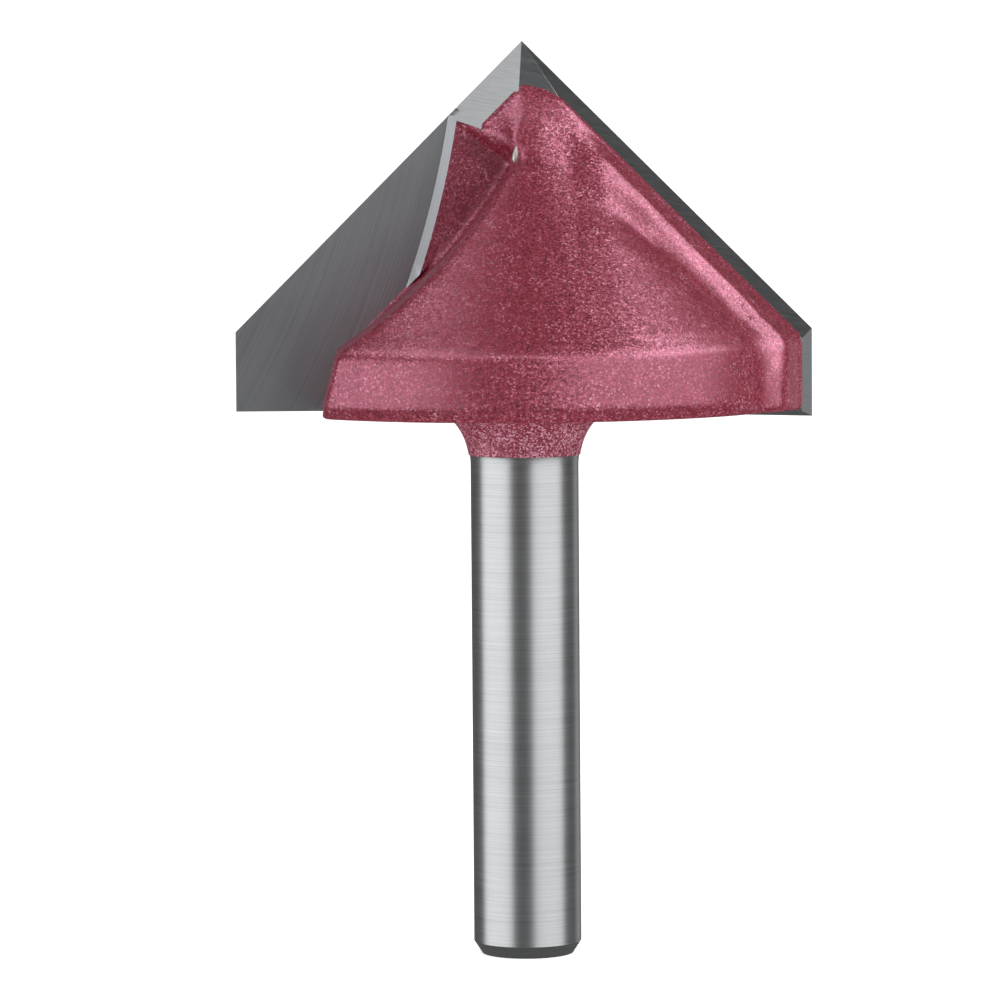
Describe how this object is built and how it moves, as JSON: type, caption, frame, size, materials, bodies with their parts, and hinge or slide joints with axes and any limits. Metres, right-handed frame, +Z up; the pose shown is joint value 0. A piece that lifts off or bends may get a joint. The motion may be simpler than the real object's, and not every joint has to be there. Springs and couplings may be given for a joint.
{
  "type": "v groove router bit",
  "caption": "V groove router bit: a painted conical steel head on a slim round shank, with a long and a short brazed carbide insert that meet in a right-angled point",
  "frame": {"origin": "centre of the flat end of the shank, which the bit stands on", "axes": "+Z runs up the axis of rotation to the point; the cutting plane with both rake faces is y = 0; the long insert's cutting edge is on +X and the short insert's on -X"},
  "size_m": [0.032, 0.03, 0.0508],
  "materials": {
    "painted_steel": "metallic crimson paint with a fine flake, on milled steel",
    "ground_steel": "ground round the axis, satin, unpainted shank",
    "tungsten_carbide": "fine ground carbide with straight grinding marks",
    "silver_braze": "dull silver braze"
  },
  "bodies": {
    "root": {"steel_body": "painted_steel", "long_insert": "tungsten_carbide", "short_insert": "tungsten_carbide", "long_braze": "silver_braze", "short_braze": "silver_braze"}
  },
  "joints": []
}
